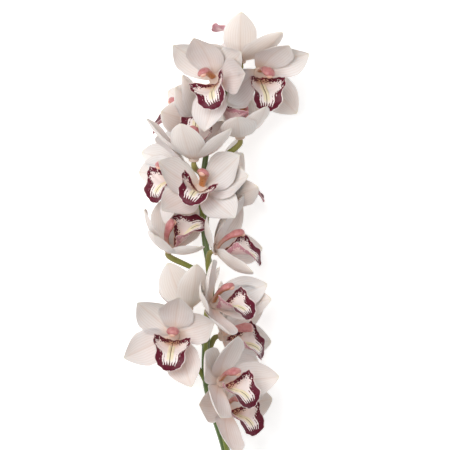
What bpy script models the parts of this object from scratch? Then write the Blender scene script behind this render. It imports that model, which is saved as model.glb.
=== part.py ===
"""A cut cymbidium orchid stem, lying on a surface with its blooms turned upwards.

One green flower stem carries a pedicel for each of its seventeen blooms. A bloom is a shell of five
fused tepals (three sepals and two petals), a three-lobed lip and an arched column.
+Y runs up the stem to its tip, +Z is up from the surface, and the origin lies under the middle.
"""

import math
from collections import namedtuple

import bmesh
import bpy
import numpy as np
from mathutils import Matrix, Vector
from mathutils.bvhtree import BVHTree

MM = 0.001
SEAT_GAP = 0.3 * MM

# Tepals: the five petal-like leaves of a bloom, each an arc seen from the side
SEPAL_LENGTH = 57 * MM
SEPAL_WIDTH = 36 * MM
PETAL_LENGTH = 56 * MM
PETAL_WIDTH = 34 * MM
LONGEST_STRETCH = 1.12
TEPAL_THICK = 1.2 * MM
TEPAL_CLEARANCE = 0.45 * MM
TEPAL_START = 3.3 * MM
TEPAL_SEAT = 0.6 * MM
DEEPEST_LEAN = 50
PETAL_STEP = 0.5 * MM
TEPAL_TURN = math.radians(40)
TEPAL_HOLLOW = 0.85
TEPAL_ROWS = (0.0, 0.2, 0.5, 0.8, 1.0)
TEPAL_COLUMNS = 3

# The round end of the ovary that the tepals grow from
CUP_RADIUS = 5.6 * MM
CUP_DEPTH = 5.5 * MM
CUP_FRONT = 2.6 * MM
CUP_SIDES = 8

# Lip: two side lobes that stand up round the column, and a middle lobe that curls down in front
LIP_THICK = 1.1 * MM
LIP_START = 4.8 * MM
LIP_SEAT = 0.9 * MM
LIP_FLOOR = 14 * MM
LIP_FLOOR_DROP = math.radians(22)
LIP_BEND = 8 * MM
LIP_LEVEL = math.radians(6)
LIP_MIDLOBE = 22 * MM
LIP_CURL = math.radians(98)
LIP_WIDTHS = (
    (0.0, 3.6), (0.12, 8), (0.25, 14), (0.36, 22), (0.45, 26), (0.52, 23), (0.58, 17),
    (0.64, 15), (0.74, 15), (0.86, 12), (0.95, 6.5), (1.0, 1.5),
)
LIP_WRAPS = ((0.0, 0.9), (0.12, 1.3), (0.3, 1.65), (0.46, 1.5), (0.58, 0.95), (0.72, 0.45), (1.0, 0.15))
LIP_ROWS = (0.0, 0.14, 0.3, 0.44, 0.52, 0.6, 0.74, 0.9, 1.0)
LIP_COLUMNS = 4

# Column: the arched club over the lip
COLUMN_LENGTH = 31 * MM
COLUMN_RISE = math.radians(32)
COLUMN_BOW = math.radians(-52)
COLUMN_FOOT = 1.8 * MM
COLUMN_RADII = (3.3 * MM, 3.6 * MM, 4.6 * MM, 6.2 * MM, 5.0 * MM)
COLUMN_SIDES = 6

# Stem
STEM_BASE_RADIUS = 4.8 * MM
STEM_TIP_RADIUS = 2.3 * MM
STEM_SIDES_RESOLUTION = 2
STEM_POINTS = 22
PEDICEL_RADIUS = 2.4 * MM
PEDICEL_NECK = 10 * MM
PEDICEL_TIP = 1.5 * MM
PEDICEL_POINTS = 6

# Places in the plan are counted in steps from a corner up and to the left of the tip, x to the right
# and y downwards, and heights in the same steps from the surface.
STEP = 0.95 * MM
PLAN_MIDDLE = (216.5, 307)

# The stem's own line, from the cut end to the tip: x, y and height of its middle, in steps
STEM_LINE = (
    (252, 600, 5),
    (240, 525, 10),
    (226, 455, 22),
    (214, 415, 34),
    (206, 380, 44),
    (206, 340, 49),
    (211, 285, 50),
    (205, 241, 50),
    (202, 200, 50),
    (205, 160, 49),
    (213, 125, 50),
    (226, 92, 54),
    (239, 66, 58),
)

# A bloom's place, the way it faces (x right, y along the stem, z up), the way its top sepal points,
# where its five tepals' tips lie in the plan with 1 for up and -1 for down, and how far up the stem
# its pedicel leaves (0 to 1). Tepals go round from the top sepal: petal, sepal, sepal, petal.
Bloom = namedtuple("Bloom", "at face crest tips node")
BLOOMS = (
    Bloom((241, 60, 62), (0.00, 0.97, -0.20), (0.87, 0.05, 0.40),
          ((281, 33, 1), (241, 12, 1), (203, 46, 1), (236, 32, -1), (260, 16, -1)), 0.975),
    Bloom((215, 80, 88), (-0.30, -0.05, 0.95), (-0.40, 0.90, 0.00),
          ((194, 44, 1), (241, 60, 1), (241, 92, 1), (196, 114, 1), (180, 57, 1)), 0.89),
    Bloom((259, 72, 66), (0.30, -0.30, 0.90), (0.10, 0.95, 0.20),
          ((288, 53, 1), (288, 82, 1), (291, 113, -1), (243, 104, 1), (234, 90, 1)), 0.915),
    Bloom((197, 118, 42), (-0.80, 0.35, 0.10), (0.30, 0.90, 0.20),
          ((180, 76, 1), (170, 98, 1), (150, 122, 1), (158, 138, -1), (172, 104, -1)), 0.82),
    Bloom((194, 159, 94), (0.00, 0.92, 0.24), (-0.10, 0.10, 1.00),
          ((186, 113, 1), (230, 128, 1), (224, 108, -1), (176, 110, -1), (150, 114, -1)), 0.775),
    Bloom((240, 136, 66), (-0.10, 0.95, 0.30), (0.85, 0.20, -0.40),
          ((262, 88, -1), (263, 104, 1), (232, 110, 1), (210, 104, -1), (238, 84, -1)), 0.785),
    Bloom((182, 170, 48), (-0.70, -0.05, 0.65), (0.10, 1.00, 0.10),
          ((154, 136, 1), (184, 136, 1), (160, 206, 1), (137, 172, -1), (140, 151, -1)), 0.715),
    Bloom((201, 188, 70), (-0.02, 0.30, 0.95), (0.40, 0.90, -0.20),
          ((238, 156, 1), (247, 176, 1), (226, 220, 1), (160, 202, 1), (165, 160, 1)), 0.69),
    Bloom((218, 195, 46), (0.80, 0.55, 0.05), (-0.50, 0.75, 0.00),
          ((249, 139, -1), (275, 155, -1), (265, 183, -1), (262, 200, 1), (245, 168, 1)), 0.665),
    Bloom((169, 249, 67), (0.30, 0.80, 0.50), (-0.90, 0.20, 0.30),
          ((152, 206, 1), (165, 197, -1), (197, 202, -1), (200, 236, 1), (157, 232, 1)), 0.592),
    Bloom((216, 250, 72), (0.88, 0.36, 0.25), (-0.35, 0.90, 0.20),
          ((243, 192, 1), (260, 210, -1), (268, 244, -1), (256, 268, 1), (206, 217, 1)), 0.562),
    Bloom((188, 309, 46), (-0.25, 0.92, -0.15), (-0.10, 0.15, 0.98),
          ((168, 256, 1), (157, 278, -1), (172, 262, -1), (210, 262, -1), (200, 258, 1)), 0.465),
    Bloom((213, 304, 84), (0.65, 0.40, 0.65), (-0.45, 0.85, -0.10),
          ((229, 264, 1), (269, 281, 1), (272, 298, -1), (240, 320, 1), (204, 288, 1)), 0.455),
    Bloom((174, 335, 66), (-0.05, -0.10, 0.99), (0.10, 1.00, 0.10),
          ((180, 298, 1), (207, 322, 1), (190, 374, 1), (147, 350, 1), (139, 303, 1)), 0.40),
    Bloom((222, 337, 42), (0.93, 0.10, 0.30), (-0.20, 0.80, 0.50),
          ((245, 283, -1), (268, 308, -1), (288, 331, -1), (262, 375, -1), (222, 282, 1)), 0.405),
    Bloom((220, 381, 84), (0.60, 0.15, 0.78), (-0.40, 0.90, 0.00),
          ((240, 336, 1), (256, 361, -1), (278, 383, -1), (229, 408, 1), (208, 349, 1)), 0.32),
    Bloom((226, 408, 52), (0.60, 0.10, 0.75), (-0.20, 0.95, 0.10),
          ((232, 352, -1), (268, 375, -1), (273, 402, -1), (249, 438, 1), (205, 386, 1)), 0.22),
)

# Which kind of tepal each of the five is
TEPALS = ("sepal", "petal", "sepal", "sepal", "petal")

# The tepals that the whole stem rests on, besides its cut end: bloom and tepal numbers from zero
FEET = ((3, 4), (8, 2), (11, 2), (14, 2))
FOOT_ROOM = 0.4 * MM
LARGEST_POCKET = 300 * MM**2
LEAN_LIMIT = 40
SWING_LIMIT = 24

COLOURS = {
    "tepal": ((0.80, 0.75, 0.71, 1), 0.45),
    "lip": ((0.30, 0.03, 0.08, 1), 0.40),
    "column": ((0.62, 0.22, 0.24, 1), 0.35),
    "stem": ((0.16, 0.24, 0.06, 1), 0.50),
}

parts = None
cutters = None


def clear_scene():
    for old in list(bpy.data.objects):
        bpy.data.objects.remove(old, do_unlink=True)


def new_collection(name):
    made = bpy.data.collections.new(name)
    bpy.context.scene.collection.children.link(made)
    return made


def material(name):
    found = bpy.data.materials.get(name)
    if found:
        return found
    colour, roughness = COLOURS[name]
    made = bpy.data.materials.new(name)
    made.use_nodes = True
    made.diffuse_color = colour
    shader = made.node_tree.nodes["Principled BSDF"]
    shader.inputs["Base Color"].default_value = colour
    shader.inputs["Roughness"].default_value = roughness
    shader.inputs["Metallic"].default_value = 0.0
    return made


def blend(x, points):
    """The value at x on a smooth line through (x, value) points."""
    for (x0, y0), (x1, y1) in zip(points, points[1:]):
        if x <= x1:
            t = max(0.0, (x - x0) / (x1 - x0))
            return y0 + (y1 - y0) * t * t * (3 - 2 * t)
    return points[-1][1]


def sheet(rows, columns, place, thick):
    """A bmesh of a thin shell: a grid moved to place(along, across), given its thickness."""
    mesh = bmesh.new()
    bmesh.ops.create_grid(mesh, x_segments=columns, y_segments=len(rows) - 1, size=1.0)
    for vertex in mesh.verts:
        along = rows[round((vertex.co.y + 1) / 2 * (len(rows) - 1))]
        vertex.co = place(along, vertex.co.x)
    bmesh.ops.remove_doubles(mesh, verts=mesh.verts, dist=1e-6)
    bmesh.ops.recalc_face_normals(mesh, faces=mesh.faces)
    bmesh.ops.solidify(mesh, geom=mesh.faces[:], thickness=thick)
    bmesh.ops.recalc_face_normals(mesh, faces=mesh.faces)
    return mesh


def arc(start, turn, length, share):
    """Where an arc of that length is after a share of it: its place and heading, in its own plane."""
    heading = start + turn * share
    if abs(turn) < 1e-4:
        return length * share * math.cos(start), length * share * math.sin(start), heading
    radius = length / turn
    ahead = radius * (math.sin(heading) - math.sin(start))
    aside = radius * (math.cos(start) - math.cos(heading))
    return ahead, aside, heading


def tepal_half_width(along):
    """Narrow where it grows from the ovary, widest past the middle, and drawn to a point."""
    return min(1.0, math.sin(math.pi * along**1.12) ** 0.75 + 0.26 * (1 - along) ** 3)


def tepal_mesh(kind, stretch, thick):
    """A tepal that points along X and faces Z: cupped across and curved forward along its length."""
    length, width = (SEPAL_LENGTH, SEPAL_WIDTH) if kind == "sepal" else (PETAL_LENGTH, PETAL_WIDTH)
    step = PETAL_STEP if kind == "petal" else 0.0

    def place(along, across):
        out, forward, heading = arc(-TEPAL_TURN / 2, TEPAL_TURN, length * stretch, along)
        half = width / 2 * (0.0 if along == 1.0 else tepal_half_width(along))
        hollow = TEPAL_HOLLOW * (0.4 + 0.6 * along)
        side = half * math.sin(hollow * across) / hollow
        lift = half * (1 - math.cos(hollow * across)) / hollow
        return Vector(
            (
                out - lift * math.sin(heading),
                side,
                step * (1 - along) + forward + lift * math.cos(heading),
            )
        )

    return sheet(TEPAL_ROWS, TEPAL_COLUMNS, place, thick)


def lip_line(along):
    """The lip's middle line seen from the side: how far ahead, how far down, and its heading down."""
    went = along * (LIP_FLOOR + LIP_BEND + LIP_MIDLOBE)
    if went <= LIP_FLOOR:
        return went * math.cos(LIP_FLOOR_DROP), went * math.sin(LIP_FLOOR_DROP), LIP_FLOOR_DROP
    ahead, down = LIP_FLOOR * math.cos(LIP_FLOOR_DROP), LIP_FLOOR * math.sin(LIP_FLOOR_DROP)
    more, fall, heading = arc(LIP_FLOOR_DROP, -LIP_LEVEL, LIP_BEND, min(1, (went - LIP_FLOOR) / LIP_BEND))
    ahead, down = ahead + more, down + fall
    if went > LIP_FLOOR + LIP_BEND:
        share = (went - LIP_FLOOR - LIP_BEND) / LIP_MIDLOBE
        more, fall, heading = arc(LIP_FLOOR_DROP - LIP_LEVEL, LIP_CURL, LIP_MIDLOBE, share)
        ahead, down = ahead + more, down + fall
    return ahead, down, heading


def lip_place(along, across):
    """A point of the lip in the bloom's own frame: X to its right, Y to its top sepal, Z forward."""
    ahead, drop, heading = lip_line(along)
    half = blend(along, LIP_WIDTHS) * MM
    wrap = blend(along, LIP_WRAPS)
    side = half * math.sin(wrap * across) / wrap
    lift = half * (1 - math.cos(wrap * across)) / wrap
    return Vector(
        (
            side,
            -LIP_START - drop + lift * math.cos(heading),
            CUP_FRONT + LIP_SEAT + ahead + lift * math.sin(heading),
        )
    )


def lip_mesh(thick):
    return sheet(LIP_ROWS, LIP_COLUMNS, lip_place, thick)


def column_mesh(extra):
    """The column: rings along an arch that rises from the cup and bows over the lip."""
    mesh = bmesh.new()
    rings = []
    count = len(COLUMN_RADII)
    for index, radius in enumerate(COLUMN_RADII):
        share = index / (count - 1)
        ahead, rise, heading = arc(COLUMN_RISE, COLUMN_BOW, COLUMN_LENGTH, share)
        ring = bmesh.ops.create_circle(mesh, segments=COLUMN_SIDES, radius=radius + extra)["verts"]
        middle = Vector((0, COLUMN_FOOT + rise, CUP_FRONT + SEAT_GAP + ahead))
        turn = Matrix.Rotation(-heading if index else 0.0, 3, "X")
        for vertex in ring:
            flat = Vector((vertex.co.x, vertex.co.y * 0.72, 0))
            vertex.co = middle + turn @ flat
        rings.append(ring)
    for first, second in zip(rings, rings[1:]):
        for index in range(COLUMN_SIDES):
            after = (index + 1) % COLUMN_SIDES
            mesh.faces.new((first[index], first[after], second[after], second[index]))
    mesh.faces.new(rings[0])
    mesh.faces.new(rings[-1])
    bmesh.ops.recalc_face_normals(mesh, faces=mesh.faces)
    return mesh


def from_plan(place):
    """A place in the plan, given in steps, in metres."""
    x, y, height = place
    return Vector((x - PLAN_MIDDLE[0], PLAN_MIDDLE[1] - y, height)) * STEP


def bloom_frame(bloom):
    """The bloom's own axes in the stem's frame: right, crest and face, at its place."""
    face = Vector(bloom.face).normalized()
    crest = Vector(bloom.crest)
    crest = (crest - face * crest.dot(face)).normalized()
    right = crest.cross(face)
    turn = Matrix((right, crest, face)).transposed()
    return Matrix.Translation(from_plan(bloom.at)) @ turn.to_4x4()


def tepal_reach(kind):
    """How far a tepal's tip is from the bloom's middle, before any stretch."""
    length = SEPAL_LENGTH if kind == "sepal" else PETAL_LENGTH
    return 0.7 * TEPAL_START + length * math.sin(TEPAL_TURN / 2) / (TEPAL_TURN / 2)


def tepal_home(bloom, index):
    """The direction to a tepal's tip over its place in the plan, and the stretch that reaches it."""
    x, y, side = bloom.tips[index]
    flat = from_plan((x, y, 0)) - from_plan((*bloom.at[:2], 0))
    reach = tepal_reach(TEPALS[index])
    if flat.length < reach:
        flat.z = side * math.sqrt(reach**2 - flat.length**2)
    stretch = min(LONGEST_STRETCH, max(1.0, flat.length / reach))
    face = Vector(bloom.face).normalized()
    outward = (flat - face * face.dot(flat)).normalized()
    lean = min(math.radians(DEEPEST_LEAN), math.atan2(face.dot(flat), outward.dot(flat)))
    return outward * math.cos(lean) + face * math.sin(lean), stretch


def tepal_frame(bloom, way):
    """The axes of a tepal that points that way, its inner side turned to the way the bloom faces."""
    face = Vector(bloom.face).normalized()
    inner = (face - way * face.dot(way)).normalized()
    outward = (way - face * face.dot(way)).normalized()
    turn = Matrix((way, inner.cross(way), inner)).transposed()
    root = from_plan(bloom.at) + outward * TEPAL_START - face * TEPAL_SEAT
    return Matrix.Translation(root) @ turn.to_4x4()


def turned(bloom, way, swing, lean):
    """A direction swung round the bloom's face and leaned forward, in degrees."""
    face = Vector(bloom.face).normalized()
    swung = Matrix.Rotation(math.radians(swing), 3, face) @ way
    return Matrix.Rotation(math.radians(-lean), 3, face.cross(swung).normalized()) @ swung


def arrays(mesh):
    mesh.verts.index_update()
    points = np.array([v.co for v in mesh.verts])
    faces = [[v.index for v in f.verts] for f in mesh.faces]
    return points, faces


def moved(points, frame):
    place = np.array(frame)
    return points @ place[:3, :3].T + place[:3, 3]


class Body:
    """A closed shape for the crossing tests, with the box that it fills."""

    def __init__(self, points, faces):
        self.low, self.high = points.min(0), points.max(0)
        self.tree = BVHTree.FromPolygons(points.tolist(), faces)

    def crossings(self, other):
        if (self.low > other.high).any() or (other.low > self.high).any():
            return 0
        return len(self.tree.overlap(other.tree))


def smooth_line(points, count):
    """count points, evenly spaced along a smooth line through the given ones."""
    points = [Vector(p) for p in points]
    padded = [points[0] * 2 - points[1], *points, points[-1] * 2 - points[-2]]
    fine = []
    for a, b, c, d in zip(padded, padded[1:], padded[2:], padded[3:]):
        for step in range(12):
            t = step / 12
            fine.append(
                0.5
                * (
                    2 * b
                    + (c - a) * t
                    + (2 * a - 5 * b + 4 * c - d) * t * t
                    + (3 * b - a - 3 * c + d) * t**3
                )
            )
    fine.append(points[-1])
    lengths = [0.0]
    for first, second in zip(fine, fine[1:]):
        lengths.append(lengths[-1] + (second - first).length)
    result = []
    for index in range(count):
        want = lengths[-1] * index / (count - 1)
        step = next(i for i in range(1, len(fine)) if lengths[i] >= want - 1e-12)
        t = (want - lengths[step - 1]) / (lengths[step] - lengths[step - 1])
        result.append(fine[step - 1].lerp(fine[step], t))
    return result


def stem_line(count=STEM_POINTS):
    return smooth_line([from_plan(p) for p in STEM_LINE], count)


def stem_radius(share):
    return STEM_BASE_RADIUS + (STEM_TIP_RADIUS - STEM_BASE_RADIUS) * share**1.2


def on_stem(share):
    """The place on the stem's line after a share of its length."""
    line = stem_line(201)
    return line[round(share * 200)]


def pedicel_line(bloom):
    """From inside the stem, up beside it, round to the back of the bloom's cup."""
    root = on_stem(bloom.node)
    ahead = (on_stem(min(1.0, bloom.node + 0.02)) - on_stem(bloom.node - 0.02)).normalized()
    frame = bloom_frame(bloom)
    face = frame.to_3x3().col[2]
    end = frame.translation - face * (CUP_DEPTH - CUP_FRONT + SEAT_GAP)
    reach = (end - root).length
    out = (end - root).normalized()
    first = root + (ahead * 0.55 + out * 0.45) * reach * 0.4
    last = end - face * min(PEDICEL_NECK, reach * 0.4)
    tip, end = end, end - face * PEDICEL_TIP
    line = []
    for step in range(PEDICEL_POINTS):
        t = step / (PEDICEL_POINTS - 1)
        line.append(
            root * (1 - t) ** 3 + first * 3 * t * (1 - t) ** 2 + last * 3 * t * t * (1 - t) + end * t**3
        )
    return [*line, tip]


def tube(name, line, radii, resolution):
    """A mesh tube along a line, with a radius at each point and its ends closed."""
    curve = bpy.data.curves.new(name, "CURVE")
    curve.dimensions = "3D"
    curve.bevel_depth = 1.0
    curve.bevel_resolution = resolution
    curve.use_fill_caps = True
    spline = curve.splines.new("POLY")
    spline.points.add(len(line) - 1)
    for point, place, radius in zip(spline.points, line, radii):
        point.co = (*place, 1)
        point.radius = radius
    made = bpy.data.objects.new(name, curve)
    parts.objects.link(made)
    graph = bpy.context.evaluated_depsgraph_get()
    mesh = bpy.data.meshes.new_from_object(made.evaluated_get(graph))
    bpy.data.objects.remove(made, do_unlink=True)
    shape = bmesh.new()
    shape.from_mesh(mesh)
    bmesh.ops.remove_doubles(shape, verts=shape.verts, dist=1e-6)
    bmesh.ops.recalc_face_normals(shape, faces=shape.faces)
    return shape


def as_object(name, shape, group, frame=None):
    mesh = bpy.data.meshes.new(name)
    shape.to_mesh(mesh)
    shape.free()
    if frame is not None:
        mesh.transform(frame)
    made = bpy.data.objects.new(name, mesh)
    group.objects.link(made)
    return made


def keep_outside(mesh):
    """Takes the sealed pockets out of a mesh, leaving its largest shell."""
    shape = bmesh.new()
    shape.from_mesh(mesh)
    loose, shells = set(shape.faces), []
    while loose:
        shell, front = set(), [loose.pop()]
        while front:
            face = front.pop()
            shell.add(face)
            near = {other for edge in face.edges for other in edge.link_faces} & loose
            loose -= near
            front.extend(near)
        shells.append(shell)
    shells.sort(key=lambda shell: sum(face.calc_area() for face in shell))
    for shell in shells[:-1]:
        if sum(face.calc_area() for face in shell) > LARGEST_POCKET:
            raise ValueError(f"{mesh.name} is in more than one piece")
        bmesh.ops.delete(shape, geom=list(shell), context="FACES")
    shape.to_mesh(mesh)
    shape.free()


def joined(name, first, others, look):
    """first with every object of others joined to it by one Boolean union, as an object called name."""
    union = first.modifiers.new("union", "BOOLEAN")
    union.operation = "UNION"
    union.operand_type = "COLLECTION"
    union.collection = others
    union.solver = "MANIFOLD"
    graph = bpy.context.evaluated_depsgraph_get()
    mesh = bpy.data.meshes.new_from_object(first.evaluated_get(graph))
    for used in [first, *others.objects]:
        bpy.data.objects.remove(used, do_unlink=True)
    keep_outside(mesh)
    mesh.name = name
    mesh.materials.clear()
    mesh.materials.append(material(look))
    mesh.shade_smooth()
    mesh.set_sharp_from_angle(angle=math.radians(40))
    made = bpy.data.objects.new(name, mesh)
    parts.objects.link(made)
    return made


def pedicel_radii():
    """Slim at the stem, and swelling into the ovary behind the bloom."""
    shares = [i / PEDICEL_POINTS for i in range(PEDICEL_POINTS + 1)]
    return [PEDICEL_RADIUS * (0.92 + 0.28 * math.sin(math.pi * min(1.0, s) ** 2.2)) for s in shares]


def stem_shapes():
    """The stem and its pedicels as separate closed meshes."""
    line = stem_line()
    radii = [stem_radius(i / (STEM_POINTS - 1)) for i in range(STEM_POINTS)]
    shapes = [tube("stem_core", line, radii, STEM_SIDES_RESOLUTION)]
    for bloom in BLOOMS:
        route = pedicel_line(bloom)
        shapes.append(tube("pedicel", route, pedicel_radii(), 1))
    return shapes


def settle_tepals(fixed):
    """The way each tepal points and its stretch. All start over their places in the plan, and those
    that would cross a neighbour, the stem or the surface ease to the nearest clear way."""
    test = {}
    ways, stretches, turns, bodies = {}, {}, {}, {}

    def body_at(key, turn):
        bloom, kind = BLOOMS[key[0]], TEPALS[key[1]]
        stretch = round(stretches[key], 2)
        if (kind, stretch) not in test:
            test[kind, stretch] = arrays(tepal_mesh(kind, stretch, TEPAL_THICK + 2 * TEPAL_CLEARANCE))
        points, faces = test[kind, stretch]
        placed = moved(points, tepal_frame(bloom, turned(bloom, ways[key], *turn)))
        made = Body(placed, faces)
        made.sunk = int((placed[:, 2] < FOOT_ROOM).sum())
        return made

    def faults(key, body):
        total = 3 * body.sunk
        for other, shape in bodies.items():
            if other[0] != key[0]:
                total += body.crossings(shape)
        for _, shape in fixed:
            total += body.crossings(shape)
        return total

    for number, bloom in enumerate(BLOOMS):
        for index in range(len(TEPALS)):
            key = (number, index)
            ways[key], stretches[key] = tepal_home(bloom, index)
            turns[key] = (0.0, 0.0)
            bodies[key] = body_at(key, turns[key])
    steps = [(a, b) for a in (-1, 0, 1) for b in (-1, 0, 1) if (a, b) != (0, 0)]
    for sweep in range(40):
        reach = 2.0 + (sweep % 5) * 3.0
        crossed = 0
        for key in turns:
            now = faults(key, bodies[key])
            if not now:
                continue
            crossed += now
            choices = []
            for swing, lean in steps:
                turn = (turns[key][0] + swing * reach * 0.7, turns[key][1] + lean * reach)
                off = math.hypot(turn[0] / SWING_LIMIT, turn[1] / LEAN_LIMIT)
                way = turned(BLOOMS[key[0]], ways[key], *turn)
                lean = math.degrees(math.asin(way.dot(Vector(BLOOMS[key[0]].face).normalized())))
                if off > 1 or lean > DEEPEST_LEAN + 4:
                    continue
                body = body_at(key, turn)
                choices.append((faults(key, body) + 0.4 * off, turn, body))
            if choices:
                best = min(choices, key=lambda choice: choice[0])
                if best[0] < now + 0.5:
                    turns[key], bodies[key] = best[1], best[2]
        if not crossed:
            break
    for key in FEET:
        kind, stretch = TEPALS[key[1]], round(stretches[key], 2)
        points, _ = arrays(tepal_mesh(kind, stretch, TEPAL_THICK))

        def lowest(lean):
            way = turned(BLOOMS[key[0]], ways[key], turns[key][0], lean)
            return moved(points, tepal_frame(BLOOMS[key[0]], way))[:, 2].min()

        high = turns[key][1]
        if lowest(high) < 0:
            lifts = [high + sign * step for step in range(1, 20) for sign in (1, -1)]
            high = next(lean for lean in lifts if lowest(lean) > 0)
        low = high
        while lowest(low) > 0 and low > high - 40:
            low -= 2
        if lowest(low) > 0:
            low = high
            while lowest(low) > 0 and low < high + 40:
                low += 2
        for _ in range(16):
            middle = (low + high) / 2
            if lowest(middle) > 0:
                high = middle
            else:
                low = middle
        turns[key] = (turns[key][0], high)
    return {
        key: (turned(BLOOMS[key[0]], ways[key], *turns[key]), round(stretches[key], 2)) for key in turns
    }


def build_bloom(number, bloom, poses):
    frame = bloom_frame(bloom)
    name = f"bloom_{number + 1:02d}"
    cup = bmesh.new()
    bmesh.ops.create_cone(
        cup,
        cap_ends=True,
        segments=CUP_SIDES,
        radius1=CUP_RADIUS * 0.8,
        radius2=CUP_RADIUS,
        depth=CUP_DEPTH,
    )
    bmesh.ops.translate(cup, vec=(0, 0, CUP_FRONT - CUP_DEPTH / 2), verts=cup.verts)
    core = as_object(name + "_cup", cup, cutters, frame)
    group = new_collection(name + "_loose")
    for index, kind in enumerate(TEPALS):
        way, stretch = poses[(number, index)]
        as_object("tepal", tepal_mesh(kind, stretch, TEPAL_THICK), group, tepal_frame(bloom, way))
    joined(name + "_tepals", core, group, "tepal")
    bpy.data.collections.remove(group)
    for piece, shape in (("lip", lip_mesh(LIP_THICK)), ("column", column_mesh(0.0))):
        made = as_object(f"{name}_{piece}", shape, parts, frame)
        made.data.materials.append(material(piece))
        made.data.shade_smooth()
        made.data.set_sharp_from_angle(angle=math.radians(40))


def build_stem():
    shapes = stem_shapes()
    core = as_object("stem_core", shapes[0], cutters)
    group = new_collection("stem_loose")
    for shape in shapes[1:]:
        as_object("stem_piece", shape, group)
    joined("stem", core, group, "stem")
    bpy.data.collections.remove(group)


def fixed_bodies():
    """The stem, lips and columns that the tepals keep clear of, each with its owner."""
    found = []
    shapes = stem_shapes()
    owners = [("stem", None)]
    for number in range(len(BLOOMS)):
        owners.append(("stem", number))
    for owner, shape in zip(owners, shapes):
        found.append((owner, Body(*arrays(shape))))
    lip, column = arrays(lip_mesh(LIP_THICK + TEPAL_CLEARANCE)), arrays(column_mesh(0.4 * MM))
    for number, bloom in enumerate(BLOOMS):
        frame = bloom_frame(bloom)
        for name, (points, faces) in (("lip", lip), ("column", column)):
            found.append(((name, number), Body(moved(points, frame), faces)))
    return found


def main():
    global parts, cutters
    clear_scene()
    parts = new_collection("cymbidium_orchid_stem")
    cutters = new_collection("construction")
    poses = settle_tepals(fixed_bodies())
    for number, bloom in enumerate(BLOOMS):
        build_bloom(number, bloom, poses)
    build_stem()
    bpy.data.collections.remove(cutters)


main()
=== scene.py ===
"""A cut cymbidium orchid stem, laid on a lit white table and seen from straight above.

Seventeen pale blooms crowd round a green stem, each on a pedicel of its own. A bloom has five broad
tepals, a lip edged in burgundy and an arched column. The finer pieces here keep the CAD's forms: the
stem, lips and columns follow the same lines, and each tepal is hung where the CAD's own tip is.
"""

import itertools
import math
import random
from collections import namedtuple

import bmesh
import bpy
from mathutils import Matrix, Vector


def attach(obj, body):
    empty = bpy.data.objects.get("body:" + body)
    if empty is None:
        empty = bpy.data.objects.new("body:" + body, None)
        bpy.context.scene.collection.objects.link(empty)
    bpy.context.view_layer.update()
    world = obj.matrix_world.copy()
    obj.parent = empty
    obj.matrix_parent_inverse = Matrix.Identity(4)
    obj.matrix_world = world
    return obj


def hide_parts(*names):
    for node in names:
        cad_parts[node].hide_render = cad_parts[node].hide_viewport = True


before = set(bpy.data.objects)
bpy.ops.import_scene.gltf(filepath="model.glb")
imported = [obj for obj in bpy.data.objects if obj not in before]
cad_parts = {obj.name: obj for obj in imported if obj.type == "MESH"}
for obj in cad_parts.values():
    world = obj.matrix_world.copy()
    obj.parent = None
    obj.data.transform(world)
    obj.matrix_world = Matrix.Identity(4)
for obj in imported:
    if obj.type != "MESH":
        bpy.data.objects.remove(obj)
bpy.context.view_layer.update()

# The flower stem: a juicy green stalk, cut off at its thick end, with a slim pedicel for each bloom.
# Each pedicel grows out of the stalk, runs up beside it and swells into the ovary behind its bloom.
MM = 0.001
STEM_BASE_RADIUS = 4.8 * MM
STEM_TIP_RADIUS = 2.3 * MM
STEM_RINGS = 90
STEM_SIDES = 24
STEM_RIDGES = 5
STEM_RIDGE_DEPTH = 0.035
STEM_TAPER = 1.2
STEM_TWIST = 3
STEM_STEPS = 200
CURVE_STEPS = 12
PEDICEL_RADIUS = 2.4 * MM
PEDICEL_NECK = 10 * MM
PEDICEL_TIP = 1.5 * MM
PEDICEL_RINGS = 22
PEDICEL_SIDES = 12
PEDICEL_GROOVES = 3
PEDICEL_GROOVE_DEPTH = 0.06
PEDICEL_AHEAD = 0.55
PEDICEL_OUT = 0.45
PEDICEL_PULL = 0.4
PEDICEL_SLIM = 0.92
OVARY_SWELL = 0.28
OVARY_PLACE = 2.2
NODE_NUDGE = 0.02
CUP_DEPTH = 5.5 * MM
CUP_FRONT = 2.6 * MM
SEAT_GAP = 0.3 * MM

# Places in the plan are counted in steps from a corner up and to the left of the tip, x to the right
# and y downwards, and heights in the same steps from the table.
STEP = 0.95 * MM
PLAN_MIDDLE = (216.5, 307)
STEM_LINE = (
    (252, 600, 5),
    (240, 525, 10),
    (226, 455, 22),
    (214, 415, 34),
    (206, 380, 44),
    (206, 340, 49),
    (211, 285, 50),
    (205, 241, 50),
    (202, 200, 50),
    (205, 160, 49),
    (213, 125, 50),
    (226, 92, 54),
    (239, 66, 58),
)

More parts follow.
